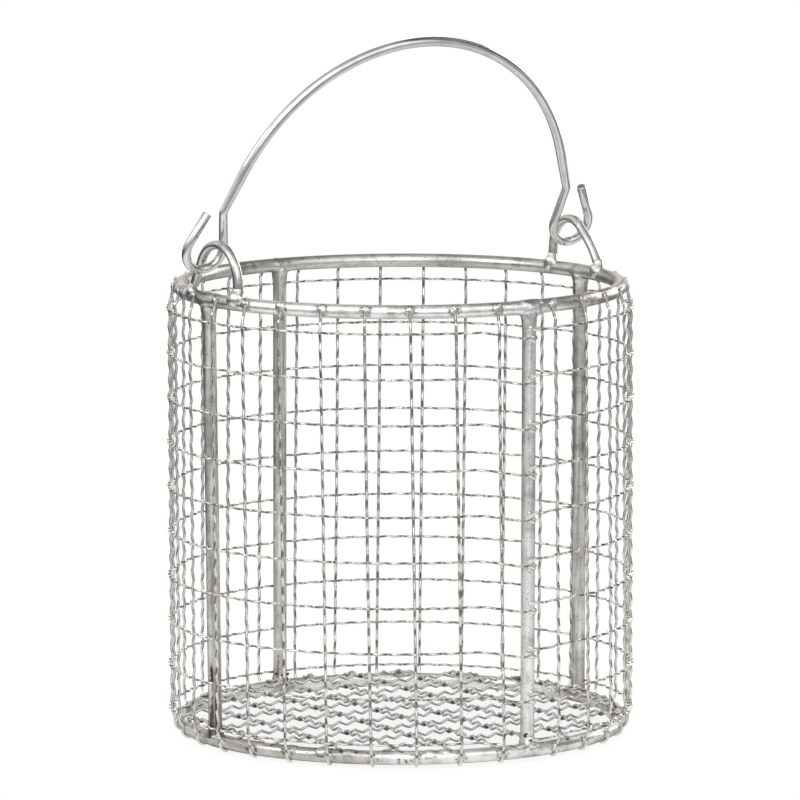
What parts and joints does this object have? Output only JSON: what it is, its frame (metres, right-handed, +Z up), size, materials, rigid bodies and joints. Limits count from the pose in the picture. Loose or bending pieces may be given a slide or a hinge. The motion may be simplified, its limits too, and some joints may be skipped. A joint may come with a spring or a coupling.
{
  "type": "wire drain basket",
  "caption": "Round wire basket for draining or dipping: a rod frame with woven mesh walls and base, and a hooked wire bail that swings in two loop ears.",
  "frame": {"origin": "on the basket's axis, at the height of the surface that it stands on", "axes": "+Z up the basket's axis; X along the line of the two ears that hold the bail; -Y towards the upright on which the wall mesh's two ends meet"},
  "size_m": [0.2182, 0.2075, 0.3125],
  "materials": {
    "frame_rod": "pickled stainless rod, satin, with light heat tint at the welds",
    "mesh_wire": "drawn stainless wire, crimped and woven, satin",
    "ear_wire": "bright drawn stainless wire",
    "bail_wire": "bright drawn stainless wire"
  },
  "bodies": {
    "basket": {"top_ring": "frame_rod", "bottom_ring": "frame_rod", "upright_1": "frame_rod", "upright_2": "frame_rod", "upright_3": "frame_rod", "upright_4": "frame_rod", "ear_left": "ear_wire", "ear_right": "ear_wire", "base_mesh": "mesh_wire", "wall_warp_01": "mesh_wire", "wall_warp_02": "mesh_wire", "wall_warp_03": "mesh_wire", "wall_warp_04": "mesh_wire", "wall_warp_05": "mesh_wire", "wall_warp_06": "mesh_wire", "wall_warp_07": "mesh_wire", "wall_warp_08": "mesh_wire", "wall_warp_09": "mesh_wire", "wall_warp_10": "mesh_wire", "wall_warp_11": "mesh_wire", "wall_warp_12": "mesh_wire", "wall_warp_13": "mesh_wire", "wall_warp_14": "mesh_wire", "wall_warp_15": "mesh_wire", "wall_warp_16": "mesh_wire", "wall_warp_17": "mesh_wire", "wall_warp_18": "mesh_wire", "wall_warp_19": "mesh_wire", "wall_warp_20": "mesh_wire", "wall_warp_21": "mesh_wire", "wall_warp_22": "mesh_wire", "wall_warp_23": "mesh_wire", "wall_warp_24": "mesh_wire", "wall_warp_25": "mesh_wire", "wall_warp_26": "mesh_wire", "wall_warp_27": "mesh_wire", "wall_warp_28": "mesh_wire", "wall_warp_29": "mesh_wire", "wall_warp_30": "mesh_wire", "wall_warp_31": "mesh_wire", "wall_warp_32": "mesh_wire", "wall_weft_01": "mesh_wire", "wall_weft_02": "mesh_wire", "wall_weft_03": "mesh_wire", "wall_weft_04": "mesh_wire", "wall_weft_05": "mesh_wire", "wall_weft_06": "mesh_wire", "wall_weft_07": "mesh_wire", "wall_weft_08": "mesh_wire", "wall_weft_09": "mesh_wire", "wall_weft_10": "mesh_wire"},
    "bail": {"bail": "bail_wire"}
  },
  "joints": [
    {"name": "bail_swing", "type": "hinge", "parent": "basket", "child": "bail", "pos_m": [0, 0.0074, 0.213], "axis": [1, 0, 0], "range_deg": [-112, 58]}
  ]
}
